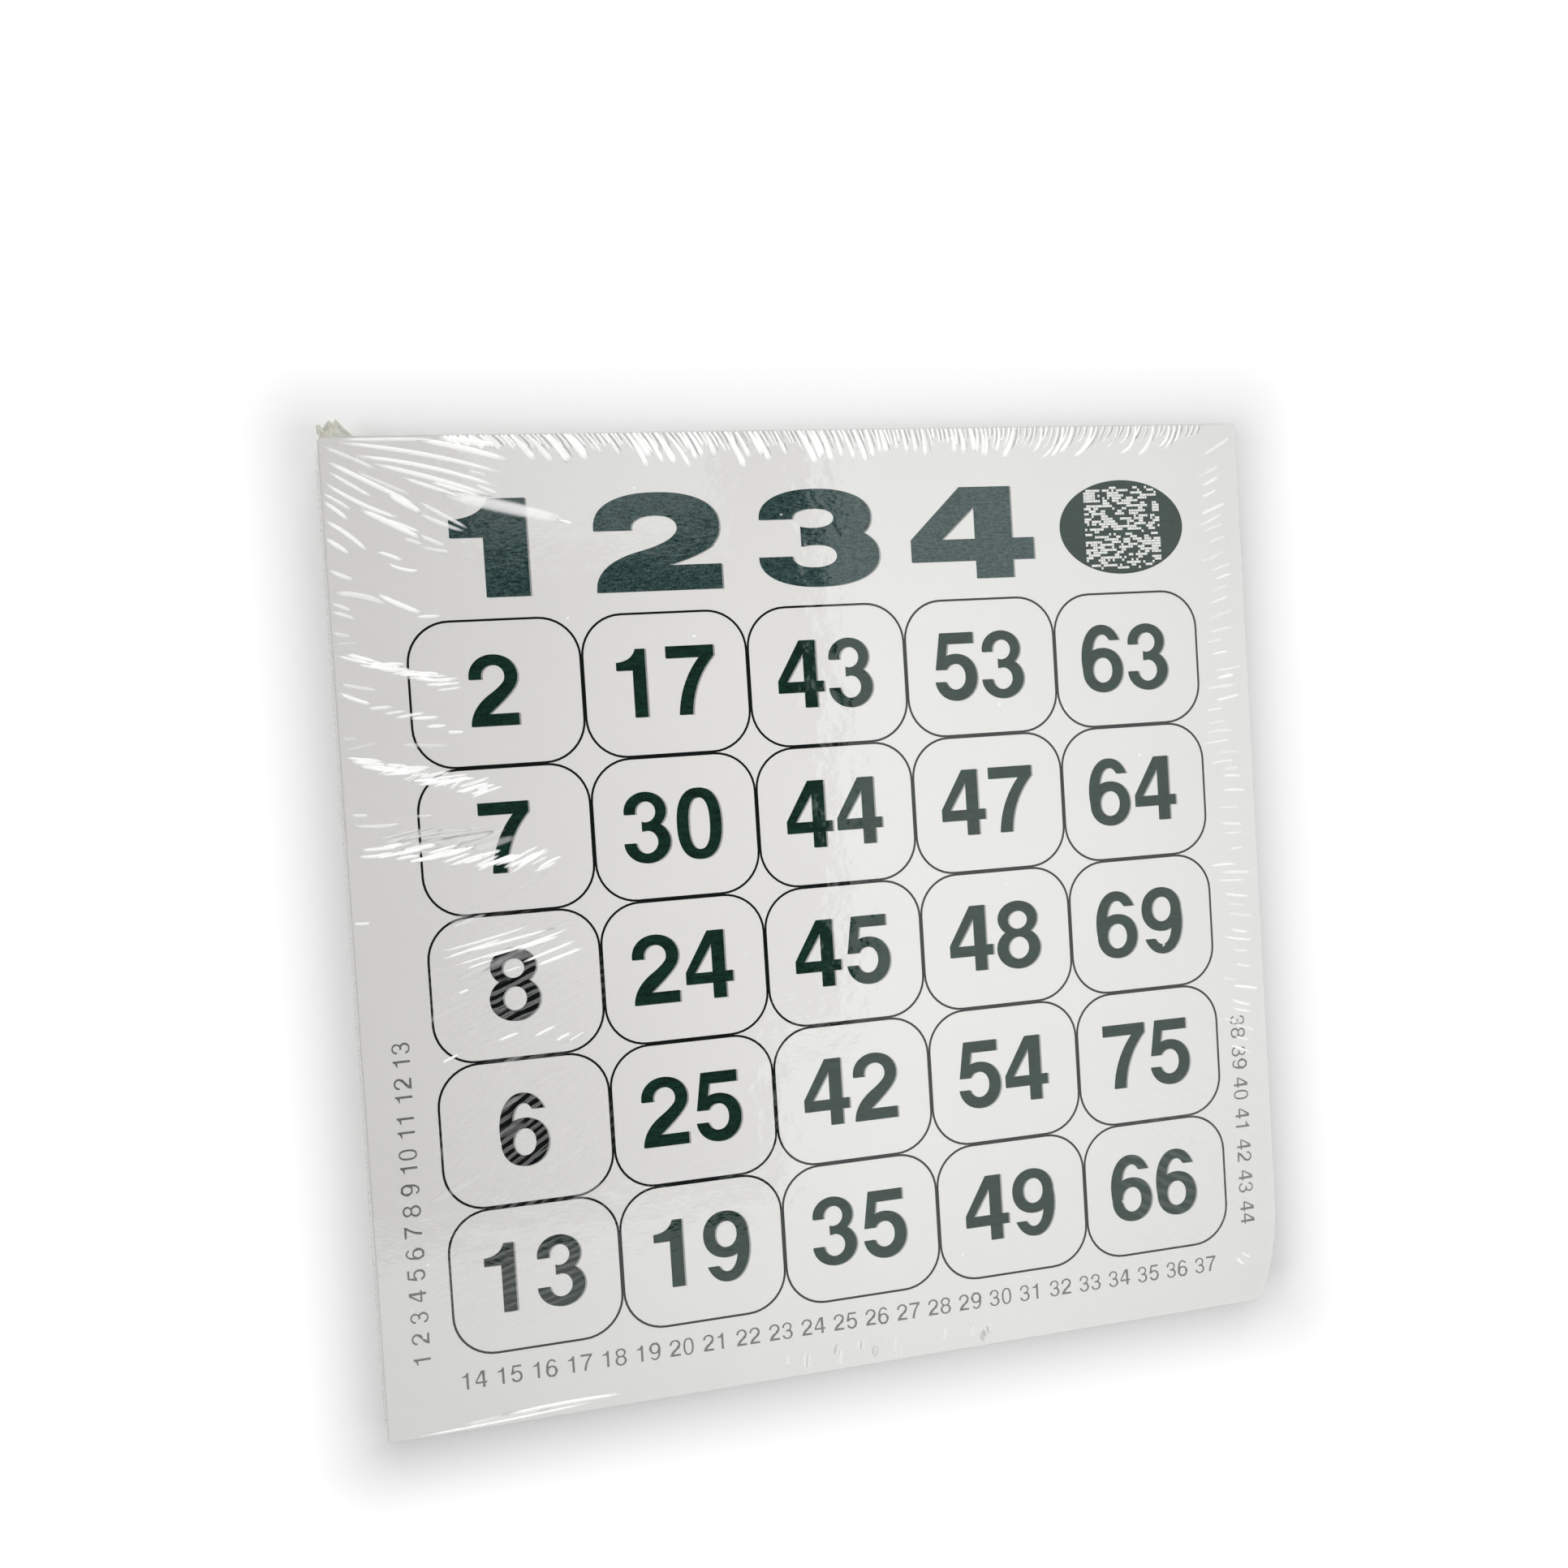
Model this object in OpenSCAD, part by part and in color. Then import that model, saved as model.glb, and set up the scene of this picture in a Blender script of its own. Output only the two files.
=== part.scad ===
// Sealed pack of square number cards in clear shrink film, lying face up.
// Millimetres. +X is the reader's right, +Y the head of the card, +Z out of the printed face.
// The origin is the middle of the face that the pack rests on.

/* [Cards] */
// Width of a card
card_w = 148; // [90:1:220]
// Height of a card, foot to head
card_h = 148; // [90:1:220]
// Thickness of one card
card_t = 0.3; // [0.2:0.05:0.8]
// Cards in the pack
card_count = 25; // [5:1:50]
// Radius of the three sound corners
corner_r = 0.6; // [0.3:0.1:3]
// How far each card may lie off the middle of the stack
jog = 0.1; // [0:0.02:0.2]

/* [Blunted corner] */
// Radius of the long curve that the lower right edge follows
blunt_r = 40; // [20:1:60]
// Turn of that curve before the tip, in degrees
blunt_turn = 22; // [10:1:30]
// Radius of the blunted tip
tip_r = 2.5; // [1:0.1:6]

/* [Film] */
// Thickness of the shrunk film
film_t = 0.06; // [0.04:0.01:0.2]
// Room that the wrinkled film takes up beside the stack
film_slack = 0.3; // [0.2:0.05:0.8]
// Room that the wrinkled film takes up above the front card
film_loft = 0.3; // [0:0.05:0.8]
// Height of the join between the two sheets, as a share of the pack's height
join_share = 0.5; // [0.3:0.05:0.7]

/* [Welds] */
// Height of a weld bead
weld_h = 0.7; // [0.3:0.1:1.5]
// How far a weld bead stands out
weld_out = 0.3; // [0.1:0.05:0.8]
// Bare length of side before a bead starts at a corner
weld_end = 1.2; // [0.8:0.1:4]

/* [Corner ear] */
// Width of the ear of spare film along the head
ear_w = 5.6; // [3:0.1:9]
// How far the ear stands out from the head
ear_l = 3.1; // [1.5:0.1:6]
// Thickness of the crumpled ear
ear_t = 0.9; // [0.4:0.1:2]

/* [Hidden] */
film_names = ["film_front", "film_back", "weld_head", "weld_left", "weld_foot", "corner_ear"];
function card_name(i) = str("card_", i < 10 ? "0" : "", i);

half_w = card_w / 2;
half_h = card_h / 2;
stack_t = card_count * card_t;
pack_t = stack_t + film_loft + 2 * film_t;
join_z = pack_t * join_share;
// From a card's outline to the outside of the film
skin = film_slack + film_t;
// How far a cut runs past what it opens
overrun = 1;

// Turn from one card's offset to the next, so that no two neighbours lie alike
jog_turn = 137.5;
// Steps along a small and along a long curve of the outline
small_steps = 5;
long_steps = 10;

// The blunted corner: middle of the long curve, then of the tip, both inside the card
blunt_x = half_w - blunt_r;
blunt_y = tip_r - half_h + (blunt_r - tip_r) * sin(blunt_turn);
tip_x = blunt_x + (blunt_r - tip_r) * cos(blunt_turn);
tip_y = tip_r - half_h;

// Outline of the ear in shares of its width and length, from the end of the head at the corner
ear_shares = [[0, 0], [-0.13, 0.36], [-0.08, 0.84], [0.16, 1], [0.33, 0.74], [0.47, 0.86],
    [0.66, 0.55], [0.84, 0.3], [1, 0]];

paper = [0.93, 0.93, 0.91];
clear = [0.86, 0.9, 0.91, 0.35];
hazy = [0.82, 0.84, 0.78, 0.7];

function arc(x, y, r, from, to, steps, first = 0) =
    [for (i = [first:steps]) let (a = from + (to - from) * i / steps) [x + r * cos(a), y + r * sin(a)]];

// The card's outline, moved outwards by grow
function outline(grow) = concat(
    arc(half_w - corner_r, half_h - corner_r, corner_r + grow, 0, 90, small_steps),
    arc(corner_r - half_w, half_h - corner_r, corner_r + grow, 90, 180, small_steps),
    arc(corner_r - half_w, corner_r - half_h, corner_r + grow, 180, 270, small_steps),
    arc(tip_x, tip_y, tip_r + grow, 270, 360 - blunt_turn, small_steps),
    arc(blunt_x, blunt_y, blunt_r + grow, -blunt_turn, 0, long_steps, 1)
);

module slab(grow, from, to) {
    translate([0, 0, from]) linear_extrude(to - from) polygon(outline(grow));
}

// Card 1 is the printed one in front, and the last one is next to the film's back
module card(i) {
    top = film_t + stack_t - (i - 1) * card_t;
    color(paper)
        translate([jog * sin(i * jog_turn), jog * cos(i * jog_turn), 0])
            slab(0, top - card_t, top);
}

module film_front() {
    color(clear) difference() {
        slab(skin, join_z, pack_t);
        slab(film_slack, join_z - overrun, pack_t - film_t);
    }
}

module film_back() {
    color(clear) difference() {
        slab(skin, 0, join_z);
        slab(film_slack, film_t, join_z + overrun);
    }
}

// A bead along X or Y that bridges the two sheets where they meet
module bead(x, y, size_x, size_y) {
    color(hazy) translate([x, y, join_z - weld_h / 2]) cube([size_x, size_y, weld_h]);
}

module weld_head() {
    bead(ear_w - half_w, half_h + skin, card_w - ear_w - weld_end, weld_out);
}

module weld_left() {
    bead(-half_w - skin - weld_out, weld_end - half_h, weld_out, card_h - 2 * weld_end);
}

module weld_foot() {
    bead(weld_end - half_w, -half_h - skin - weld_out, half_w + tip_x - weld_end, weld_out);
}

module corner_ear() {
    color(hazy)
        translate([corner_r - half_w, half_h + skin, join_z - ear_t / 2])
            linear_extrude(ear_t)
                polygon([for (p = ear_shares) [p[0] * (ear_w - corner_r), p[1] * ear_l]]);
}

for (i = [1:card_count]) card(i);
film_front();
film_back();
weld_head();
weld_left();
weld_foot();
corner_ear();
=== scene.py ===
import random
from math import copysign, cos, hypot, pi, radians, sin

import bpy
import numpy as np
from mathutils import Matrix, Vector
from mathutils.geometry import delaunay_2d_cdt


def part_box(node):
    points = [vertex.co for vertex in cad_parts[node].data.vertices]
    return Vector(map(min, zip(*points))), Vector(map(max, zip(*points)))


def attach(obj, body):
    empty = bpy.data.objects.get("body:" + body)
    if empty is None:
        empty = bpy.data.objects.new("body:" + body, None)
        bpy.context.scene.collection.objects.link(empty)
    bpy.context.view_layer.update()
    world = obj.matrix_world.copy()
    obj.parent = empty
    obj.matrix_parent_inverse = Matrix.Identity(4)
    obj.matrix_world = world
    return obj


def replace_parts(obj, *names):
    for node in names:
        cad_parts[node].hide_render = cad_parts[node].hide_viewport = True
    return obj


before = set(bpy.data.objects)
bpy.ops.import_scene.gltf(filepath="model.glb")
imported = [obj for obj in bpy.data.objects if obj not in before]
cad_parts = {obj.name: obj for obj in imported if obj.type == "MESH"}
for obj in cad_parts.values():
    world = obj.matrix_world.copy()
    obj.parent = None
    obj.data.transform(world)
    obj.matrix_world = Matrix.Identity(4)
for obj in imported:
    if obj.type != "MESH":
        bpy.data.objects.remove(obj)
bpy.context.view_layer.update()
print("frame loaded:", len(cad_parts), "nodes")

mm = 0.001


class Setup(dict):  # a dictionary that is also read as setup.width
    __getattr__ = dict.__getitem__


scene = bpy.context.scene
scene.view_settings.view_transform = "Standard"

# all sizes below are in millimetres, in the frame of the part
pack = Setup(
    half=74.0,  # half a card's side
    cornerRadius=0.6,
    bluntRadius=40.0,  # the lower right corner
    bluntTurn=22.0,
    tipRadius=2.5,
    face=7.56,  # printed face of the front card
    join=3.96,  # where the two sheets of film meet
    back=0.055,  # level of the back sheet
)

# camera

cameraSet = Setup(
    place=(-70.28, 27.60, 251.02), target=(-7.61, 19.13, 7.56), roll=-3.55, lens=36.98, sensor=36.0,
)


def makeCamera(setup):
    place, target = Vector(setup.place) * mm, Vector(setup.target) * mm
    ahead = (target - place).normalized()
    side = ahead.cross(Vector((0, 1, 0))).normalized()
    up = side.cross(ahead)
    turn = radians(setup.roll)
    right = side * cos(turn) + up * sin(turn)
    up = right.cross(ahead)
    data = bpy.data.cameras.new("camera")
    data.lens, data.sensor_width = setup.lens, setup.sensor
    data.clip_start, data.clip_end = 0.01, 20
    camera = bpy.data.objects.new("camera", data)
    camera.matrix_world = Matrix.Translation(place) @ Matrix((right, up, -ahead)).transposed().to_4x4()
    scene.collection.objects.link(camera)
    scene.camera = camera


makeCamera(cameraSet)
print("camera placed")

# shader helpers


class Wire:  # a socket that takes part in sums
    def __init__(self, finish, socket):
        self.finish, self.socket = finish, socket

    def math(self, operation, *values):
        return self.finish.node("Math", {"operation": operation}, dict(enumerate(values)))

    def __add__(self, other):
        return self.math("ADD", self, other)

    def __mul__(self, other):
        return self.math("MULTIPLY", self, other)

    def __pow__(self, other):
        return self.math("POWER", self, other)

    def clamp(self):
        return self.finish.node("Clamp", {}, {0: self})

    __radd__, __rmul__ = __add__, __mul__


class Finish:  # a node tree of a material or the world
    def __init__(self, name, owner=None):
        self.owner = owner or bpy.data.materials.new(name)
        self.owner.use_nodes = True
        self.tree = self.owner.node_tree
        self.tree.nodes.clear()

    def node(self, kind, settings, inputs, out=0):
        made = self.tree.nodes.new("ShaderNode" + kind)
        for key, value in settings.items():
            if key == "stops":
                ramp = made.color_ramp.elements
                while len(ramp) < len(value):
                    ramp.new(0.5)
                for stop, (place, tone) in zip(ramp, value):
                    stop.position, stop.color = place, (tone, tone, tone, 1)
            else:
                setattr(made, key, value)
        for key, value in inputs.items():
            if isinstance(value, Wire):
                self.tree.links.new(value.socket, made.inputs[key])
            else:
                made.inputs[key].default_value = value
        return Wire(self, made.outputs[out])

    def read(self, kind, out):
        return self.node(kind, {}, {}, out)

    def blend(self, share, first, second):  # between two colours
        return self.node("Mix", {"data_type": "RGBA"}, {0: share, 6: first, 7: second}, 2)

    def ramp(self, value, *stops):
        return self.node("ValToRGB", {"stops": stops}, {0: value})

    def vector(self, operation, *values, out=0):
        return self.node("VectorMath", {"operation": operation}, dict(enumerate(values)), out)

    def mapped(self, inputs):  # a place on the part
        coord = self.read("TexCoord", "Object")
        return self.node("Mapping", {"vector_type": "TEXTURE"}, {0: coord, **inputs})

    def place(self, scale=(1, 1, 1), turn=0.0):  # drawn out along the turned axes
        return self.mapped({2: (0, 0, radians(turn)), 3: [1 / v for v in scale]})

    def spot(self, middle, half):  # 1 within an ellipse, fading to 0 at its rim
        off = self.mapped({1: [v * mm for v in (*middle, 0)], 3: [v * mm for v in (*half, 1e6)]})
        return self.ramp(self.vector("LENGTH", off, out="Value"), (0.72, 1.0), (1.0, 0.0))

    def noise(self, where, size, detail=2.0, rough=0.5):  # size of the grain in millimetres
        inputs = {"Vector": where, "Scale": 1 / (size * mm), "Detail": detail, "Roughness": rough}
        return self.node("TexNoise", {}, inputs)

    def bump(self, height, strength, reach):
        inputs = {"Strength": strength, "Distance": reach * mm, "Height": height}
        return self.node("Bump", {}, inputs)

    def solid(self, colour, rough, inputs):  # what lets nothing through
        return self.node("BsdfPrincipled", {}, {"Base Color": colour, "Roughness": rough, **inputs})

    def mix(self, share, first, second):  # between two shaders
        return self.node("MixShader", {}, {0: share, 1: first, 2: second})

    def clear(self):  # what lets everything through
        return self.read("BsdfTransparent", 0)

    def close(self, shader):
        kind = "World" if isinstance(self.owner, bpy.types.World) else "Material"
        end = self.tree.nodes.new("ShaderNodeOutput" + kind)
        self.tree.links.new(shader.socket, end.inputs[0])
        return self.owner


def tint(red, green, blue):
    return (red, green, blue, 1.0)


# the card and its print

paperSet = Setup(
    shade=tint(0.735, 0.727, 0.709),
    light=tint(0.8, 0.791, 0.772),
    # cut edges of the board: greyer, and darker as painted shade
    edge=tint(0.5, 0.495, 0.48),
)


def makePaper(setup):
    finish = Finish("coatedBoard")
    where = finish.place()
    fibre = finish.noise(where, 0.35, 3.0, 0.6)
    cloud = finish.noise(where, 14.0)
    own = finish.read("ObjectInfo", "Random")
    tone = (fibre * 0.55 + cloud * 0.35 + own * 0.2).clamp()
    facing = finish.read("NewGeometry", "Normal")
    upward = finish.node("SeparateXYZ", {}, {0: facing}, 2)
    cut = finish.ramp(upward.math("ABSOLUTE", upward), (0.3, 1.0), (0.7, 0.0))  # the cut edges, facing sideways: greyer board, darkened further as painted shade
    edgeToneAndShade = (cut * (0.55 + own * 0.45)).clamp()
    colour = finish.blend(edgeToneAndShade, finish.blend(tone, setup.shade, setup.light), setup.edge)
    rough = (0.5 + fibre * 0.2 + cut * 0.2).clamp()
    inputs = {"Normal": finish.bump(fibre, 0.25, 0.02), "Specular IOR Level": 0.35}
    return finish.close(finish.solid(colour, rough, inputs))


# where the film sticks to the print in stripes; the white of the stripes is painted reflection, light
# mirrored by the film's ripples; the ink under it looks wet
paintedReflectionStripes = (
    Setup(middle=(-50.8, -8.8), half=(14.0, 12.5), heading=21, pitch=1.3, white=0.19, wet=0.95),
    Setup(middle=(-50.8, -31.0), half=(14.0, 13.0), heading=34, pitch=1.25, white=0.18, wet=0.95),
    Setup(middle=(-54.0, -51.5), half=(13.0, 8.5), heading=16, pitch=1.1, white=0.09, wet=0.6),
    Setup(middle=(58.0, -50.0), half=(14.0, 17.0), heading=-30, pitch=1.7, white=0.045),
)
wetInk = tint(0.002, 0.003, 0.003)
inkSets = Setup(
    numberInk=Setup(dark=(0.002, 0.013, 0.008), pale=(0.009, 0.043, 0.028), grain=0.8, mottle=0.4,
                    wetUnder=paintedReflectionStripes[:3]),
    # the heading ink's pale mottle is painted reflection, glints of the uneven film over the ink
    headInk=Setup(dark=(0.004, 0.019, 0.018), pale=(0.07, 0.125, 0.12), grain=0.5, mottle=0.45),
    # painted reflection: grey of the ghost image of each numeral in the film
    paintedGhostInk=Setup(dark=(0.28, 0.28, 0.27), pale=(0.42, 0.42, 0.41), grain=0.3, mottle=0.5),
    lineInk=Setup(dark=(0.002, 0.004, 0.0035), pale=(0.008, 0.012, 0.011), grain=0.3, mottle=0.5),
    marginInk=Setup(dark=(0.13, 0.135, 0.13), pale=(0.24, 0.245, 0.235), grain=0.25, mottle=0.6),
    dotInk=Setup(dark=(0.74, 0.74, 0.72), pale=(0.84, 0.84, 0.82), grain=0.3, mottle=0.5),
)


def makeInk(name, setup):
    finish = Finish(name)
    lay = finish.noise(finish.place((0.45, 1.5, 1)), setup.grain, 3.0, 0.65)  # drawn out along the rows
    speck = finish.noise(finish.place(), setup.grain * 0.5)
    share = finish.ramp(lay * (1 - setup.mottle) + speck * setup.mottle, (0.38, 0.0), (0.66, 1.0))
    colour = finish.blend(share, tint(*setup.dark), tint(*setup.pale))
    for patch in setup.get("wetUnder", ()):
        wet = finish.spot(patch.middle, patch.half) * patch.wet
        colour = finish.blend(wet, colour, wetInk)
    inputs = {"Normal": finish.bump(lay, 0.2, 0.01), "Specular IOR Level": 0.03}
    return finish.close(finish.solid(colour, 0.5 + speck * 0.25, inputs))


def meshPiece(name, points, faces, material, smooth=False):
    mesh = bpy.data.meshes.new(name)
    mesh.from_pydata([(x * mm, y * mm, z * mm) for x, y, z in points], [], faces)
    mesh.materials.append(material)
    mesh.polygons.foreach_set("use_smooth", [smooth] * len(mesh.polygons))
    mesh.update()
    piece = bpy.data.objects.new(name, mesh)
    scene.collection.objects.link(piece)
    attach(piece, "root")
    return piece


def heading(angle):  # one step in a direction
    return cos(radians(angle)), sin(radians(angle))


# flat shapes: each is a list of outlines that are laid on (1) or cut away (0) in turn


def ring(x, y, rx, ry, power=2.0, steps=52):
    def swell(v):  # a power over 2 squares the ring up
        return copysign(abs(v) ** (2 / power), v)

    angles = [2 * pi * k / steps for k in range(steps)]
    return [(x + rx * swell(cos(a)), y + ry * swell(sin(a))) for a in angles]


def block(x0, y0, x1, y1):
    return [(x0, y0), (x1, y0), (x1, y1), (x0, y1)]


def bend(start, pull, end, steps=9):  # a curve towards a pulling point
    points = []
    for k in range(steps + 1):
        t = k / steps
        shares = (1 - t) ** 2, 2 * t * (1 - t), t * t
        points.append(tuple(sum(s * v for s, v in zip(shares, axis)) for axis in zip(start, pull, end)))
    return points


def turned(shape, x, y):  # half a turn about a point
    return [(lays, [(2 * x - a, 2 * y - b) for a, b in outline]) for lays, outline in shape]


def holds(outline, x, y):
    inside = False
    for (ax, ay), (bx, by) in zip(outline, outline[1:] + outline[:1]):
        if (ay > y) != (by > y) and x < (bx - ax) * (y - ay) / (by - ay) + ax:
            inside = not inside
    return inside


def fillShape(shape):
    points, edges = [], []
    for lays, outline in shape:
        start, count = len(points), len(outline)
        points += [Vector(p) for p in outline]
        edges += [(start + k, start + (k + 1) % count) for k in range(count)]
    points, _, triangles, *_ = delaunay_2d_cdt(points, edges, [], 0, 1e-5)
    kept = []
    for triangle in triangles:
        x = sum(points[k].x for k in triangle) / 3
        y = sum(points[k].y for k in triangle) / 3
        laid = False
        for lays, outline in shape:
            if holds(outline, x, y):
                laid = bool(lays)
        if laid:
            kept.append(tuple(triangle))
    return [(p.x, p.y) for p in points], kept


def thicken(flat, low, high):  # a closed film of ink from flat triangles
    points, triangles = flat
    used = sorted({k for t in triangles for k in t})
    index = {k: n for n, k in enumerate(used)}
    count = len(used)
    solid = [(*points[k], high) for k in used] + [(*points[k], low) for k in used]
    faces, rims = [], {}
    for triangle in triangles:
        a, b, c = (index[k] for k in triangle)
        faces += [(a, b, c), (c + count, b + count, a + count)]
        for edge in ((a, b), (b, c), (c, a)):
            rims[edge] = True
    faces += [(b, a, a + count, b + count) for a, b in rims if (b, a) not in rims]
    return solid, faces


def thinned(flat, by):  # the same shape with every stroke drawn in
    points, triangles = flat
    sides = {(t[k], t[(k + 1) % 3]) for t in triangles for k in range(3)}
    pushes = {}
    for a, b in sides:
        if (b, a) not in sides:
            dx, dy = points[b][0] - points[a][0], points[b][1] - points[a][1]
            length = hypot(dx, dy)
            for k in (a, b):
                pushes.setdefault(k, []).append((-dy / length, dx / length))
    moved = list(points)
    for k, ways in pushes.items():
        x, y = sum(w[0] for w in ways) / len(ways), sum(w[1] for w in ways) / len(ways)
        reach = by / max(0.3, x * x + y * y)
        moved[k] = (points[k][0] + x * reach, points[k][1] + y * reach)
    return moved, triangles


class Print:  # gathers many thin solids into one piece
    def __init__(self):
        self.points, self.faces = [], []

    def add(self, solid, place=lambda x, y: (x, y)):
        start = len(self.points)
        self.points += [(*place(x, y), z) for x, y, z in solid[0]]
        self.faces += [tuple(k + start for k in face) for face in solid[1]]

    def lay(self, name, ink):
        meshPiece(name, self.points, self.faces, inks[ink])


printSet = Setup(
    sunk=0.01,  # the ink reaches into the board
    proud=0.012,  # and stands this far above it
    fringe=(0.27, -0.07, 0.005),  # a faint painted reflection beside each stroke, a grey copy for the film's ghost image of the print: offsets and its height
    advance=8.2,  # from one numeral to the next
    wide=7.4,  # the widest numeral
)

# plain upright numerals, drawn on a baseline from x = 0
six = [
    (1, ring(3.65, 5.2, 3.65, 5.55, 2.15)), (0, ring(3.72, 5.2, 1.84, 3.95, 2.2)),
    (0, block(3.72, 3.3, 9, 8.15)),
    (1, ring(3.7, 3.3, 3.55, 3.65, 2.1)), (0, ring(3.66, 3.3, 1.72, 2.05, 2.1)),
]
numerals = {
    "0": [(1, ring(3.6, 5.2, 3.5, 5.52, 2.4)), (0, ring(3.6, 5.2, 1.68, 3.98, 2.45))],
    "1": [
        (1, block(3.0, 0, 5.0, 9.0)), (1, block(3.5, 7.2, 5.0, 10.45)),
        (1, [(0.5, 7.2), (3.6, 7.2), (3.6, 10.45)] + bend((3.5, 10.45), (3.0, 8.6), (0.5, 8.45))),
    ],
    "2": [
        (1, ring(3.6, 7.4, 3.6, 3.27, 2.05)), (0, ring(3.55, 7.4, 1.72, 1.68, 2.05)),
        (0, [(3.6, 7.0), (-2, 7.0), (-2, 0), (8, 0), (8, 3.3)]),
        (1, bend((6.45, 5.35), (5.6, 4.2), (2.75, 1.8)) + [(7.1, 1.8), (7.1, 0), (0, 0)]
         + bend((0, 0.1), (0.1, 2.6), (2.6, 4.5))[1:] + bend((2.6, 4.5), (4.4, 5.7), (4.95, 6.45))[1:]),
    ],
    "3": [
        (1, ring(3.45, 7.65, 3.28, 2.98)), (1, ring(3.6, 2.9, 3.6, 3.25)),
        (0, ring(3.5, 7.55, 1.56, 1.6)), (0, ring(3.55, 2.9, 1.7, 1.75)),
        (0, block(-1, 2.85, 2.85, 7.25)),
    ],
    "4": [
        (1, [(3.65, 10.55), (6.25, 10.55), (6.25, 4.1), (7.4, 4.1), (7.4, 2.4), (6.25, 2.4), (6.25, 0),
             (4.2, 0), (4.2, 2.4), (0, 2.4), (0, 4.3)]),
        (0, [(4.2, 8.4), (1.45, 4.1), (4.2, 4.1)]),
    ],
    "5": [
        (1, ring(3.75, 3.45, 3.6, 3.77, 2.1)), (0, ring(3.65, 3.55, 1.72, 2.06, 2.1)),
        (0, block(-1, 2.8, 2.2, 4.72)),
        (1, [(1.25, 10.6), (6.9, 10.6), (6.9, 8.8), (2.5, 8.8), (2.05, 6.0), (2.1, 4.72), (0.35, 4.72)]),
    ],
    "6": six,
    "7": [
        (1, [(0, 10.6), (7.5, 10.6), (7.5, 8.95)] + bend((7.5, 8.95), (4.0, 5.2), (3.75, 0)) + [(1.65, 0)]
         + bend((1.65, 0), (2.0, 5.0), (5.15, 8.75)) + [(0, 8.75)]),
    ],
    "8": [
        (1, ring(3.65, 7.85, 3.42, 2.87)), (1, ring(3.65, 2.98, 3.76, 3.33)),
        (0, ring(3.65, 7.6, 1.66, 1.46)), (0, ring(3.65, 3.05, 1.78, 1.8)),
    ],
    "9": turned(six, 3.65, 5.2),
}
paper = makePaper(paperSet)
inks = {name: makeInk(name, setup) for name, setup in inkSets.items()}
inkLow, inkHigh = pack.face - printSet.sunk, pack.face + printSet.proud
numeralFlats = {key: fillShape(shape) for key, shape in numerals.items()}
numeralSolids = {key: thicken(flat, inkLow, inkHigh) for key, flat in numeralFlats.items()}
paintedGhostHigh = pack.face + printSet.fringe[2]
paintedGhostSolids = {key: thicken(flat, inkLow, paintedGhostHigh) for key, flat in numeralFlats.items()}
# painted reflection: a grey copy of every numeral, offset beside it, for the film's ghost image of the
# print
fringe = Print()
for name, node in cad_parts.items():
    if name.startswith("card_"):
        node.data.materials.clear()
        node.data.materials.append(paper)
print("numerals drawn:", len(numeralSolids))

gridSet = Setup(
    left=-63.66, top=46.76, pitchX=25.73, pitchY=21.99, cornerRadius=6.2, line=0.34,
    inset=0.145,  # from a cell's edge to the middle of its line
    baseline=6.05,  # above the cell's lower edge
    nudge=-0.4,
    rows=((2, 17, 43, 53, 63), (7, 30, 44, 47, 64), (8, 24, 45, 48, 69), (6, 25, 42, 54, 75),
          (13, 19, 35, 49, 66)),
)


def roundedLoop(halfX, halfY, radius, steps=10):
    loop = []
    for corner, (sx, sy) in enumerate(((1, 1), (-1, 1), (-1, -1), (1, -1))):
        for k in range(steps + 1):
            c, s = heading(90 * (corner + k / steps))
            loop.append((sx * (halfX - radius) + radius * c, sy * (halfY - radius) + radius * s))
    return loop


def writeNumber(sheet, solids, text, x, y):  # centred on x
    advance = printSet.advance
    width = (len(text) - 1) * advance + printSet.wide
    for k, letter in enumerate(text):
        sheet.add(solids[letter], lambda a, b: (x + a + k * advance - width / 2, y + b))


def makeGrid(setup):
    cells, numbers = Print(), Print()
    aside, down, _ = printSet.fringe
    halfX, halfY = setup.pitchX / 2 - setup.inset, setup.pitchY / 2 - setup.inset
    half, radius = setup.line / 2, setup.cornerRadius
    outer = roundedLoop(halfX + half, halfY + half, radius + half)
    inner = roundedLoop(halfX - half, halfY - half, radius - half)
    cell = thicken(fillShape([(1, outer), (0, inner)]), inkLow, inkHigh)
    for row, values in enumerate(setup.rows):
        for column, value in enumerate(values):
            x = setup.left + (column + 0.5) * setup.pitchX
            y = setup.top - (row + 0.5) * setup.pitchY
            cells.add(cell, lambda a, b: (x + a, y + b))
            base = y - setup.pitchY / 2 + setup.baseline
            writeNumber(numbers, numeralSolids, str(value), x + setup.nudge, base)
            writeNumber(fringe, paintedGhostSolids, str(value), x + setup.nudge + aside, base + down)
    cells.lay("cell_lines", "lineInk")
    numbers.lay("cell_numbers", "numberInk")


makeGrid(gridSet)
print("grid printed")

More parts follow.
